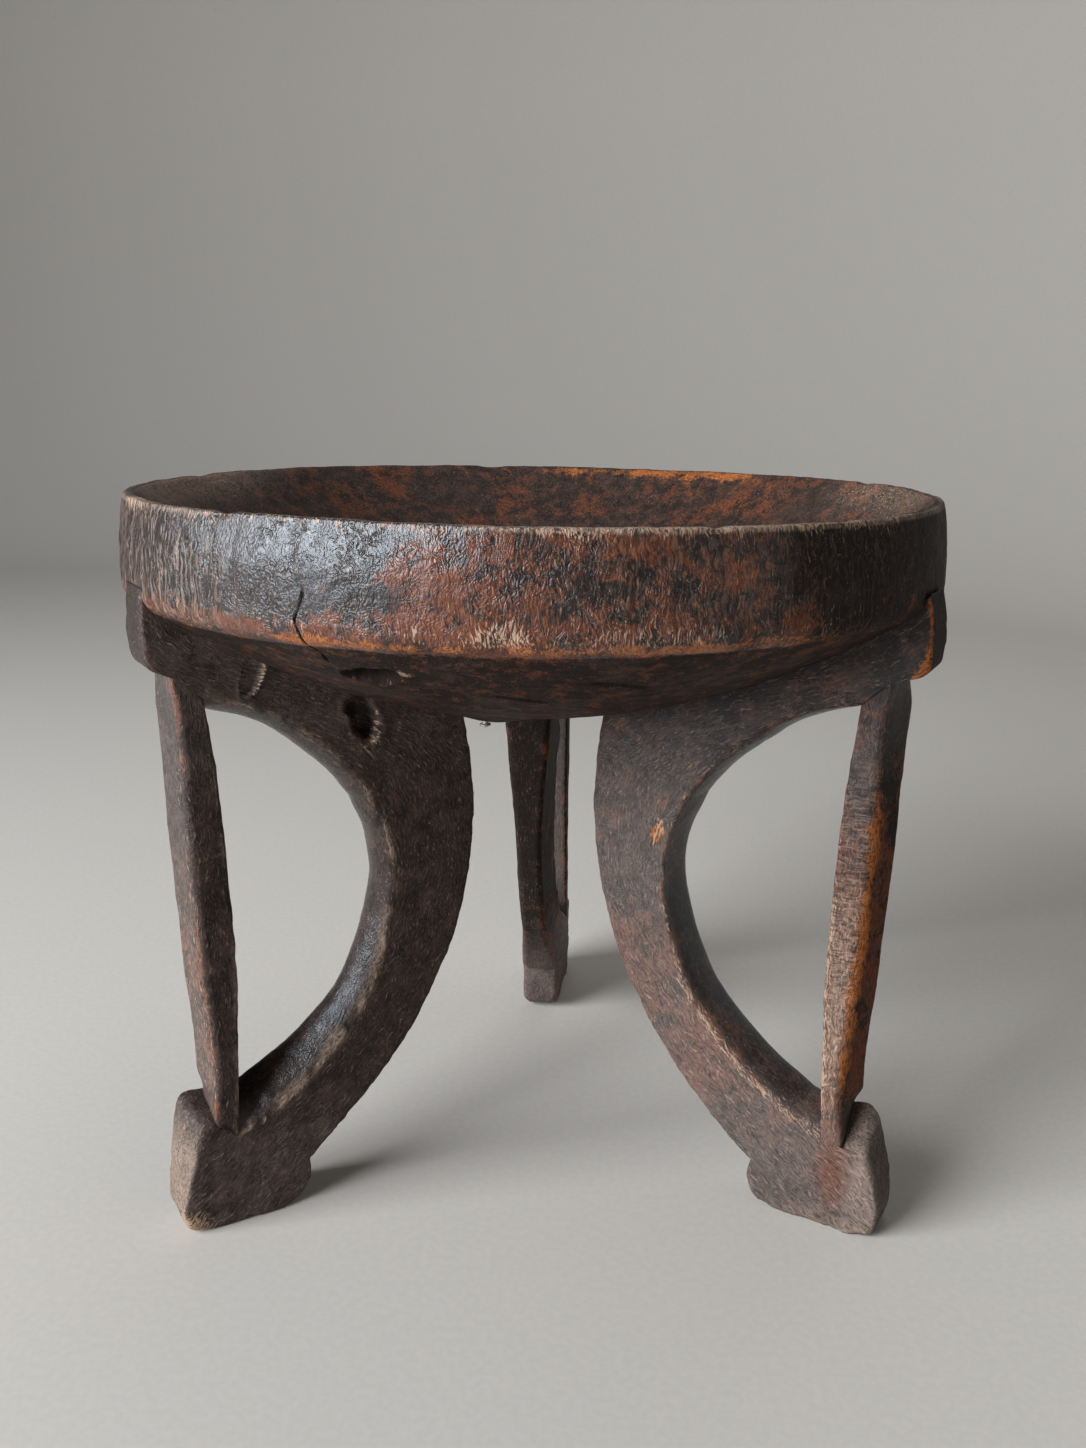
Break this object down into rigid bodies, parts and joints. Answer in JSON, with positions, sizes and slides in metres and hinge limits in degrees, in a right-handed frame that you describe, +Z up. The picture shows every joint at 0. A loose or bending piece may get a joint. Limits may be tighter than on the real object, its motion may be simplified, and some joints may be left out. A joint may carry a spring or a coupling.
{
  "type": "carved wooden stool",
  "caption": "Low carved wooden stool: a round dished seat with an upright band, on openwork plank legs with a curved inner limb, a slim outer strut and a flat-soled foot.",
  "frame": {"origin": "on the floor, on the axis of the round seat", "axes": "+Z up, +Y towards the back leg, +X to the right when seen from the side with the left and right legs in front"},
  "size_m": [0.362, 0.3625, 0.321],
  "materials": {
    "seat_wood": "hand-rubbed dark patina, satin, worn to red-brown and tan along the edges",
    "leg_wood": "dark satin patina with tool marks, worn to orange on the strut's ridge",
    "foot_wood": "dry, worn and greyed by the floor",
    "nail_iron": "rubbed old iron"
  },
  "bodies": {
    "root": {"seat_dish": "seat_wood", "seat_pin": "nail_iron", "left_bracket": "leg_wood", "right_bracket": "leg_wood", "back_bracket": "leg_wood", "left_bow": "leg_wood", "right_bow": "leg_wood", "back_bow": "leg_wood", "left_strut": "leg_wood", "right_strut": "leg_wood", "back_strut": "leg_wood", "left_foot": "foot_wood", "right_foot": "foot_wood", "back_foot": "foot_wood"}
  },
  "joints": []
}
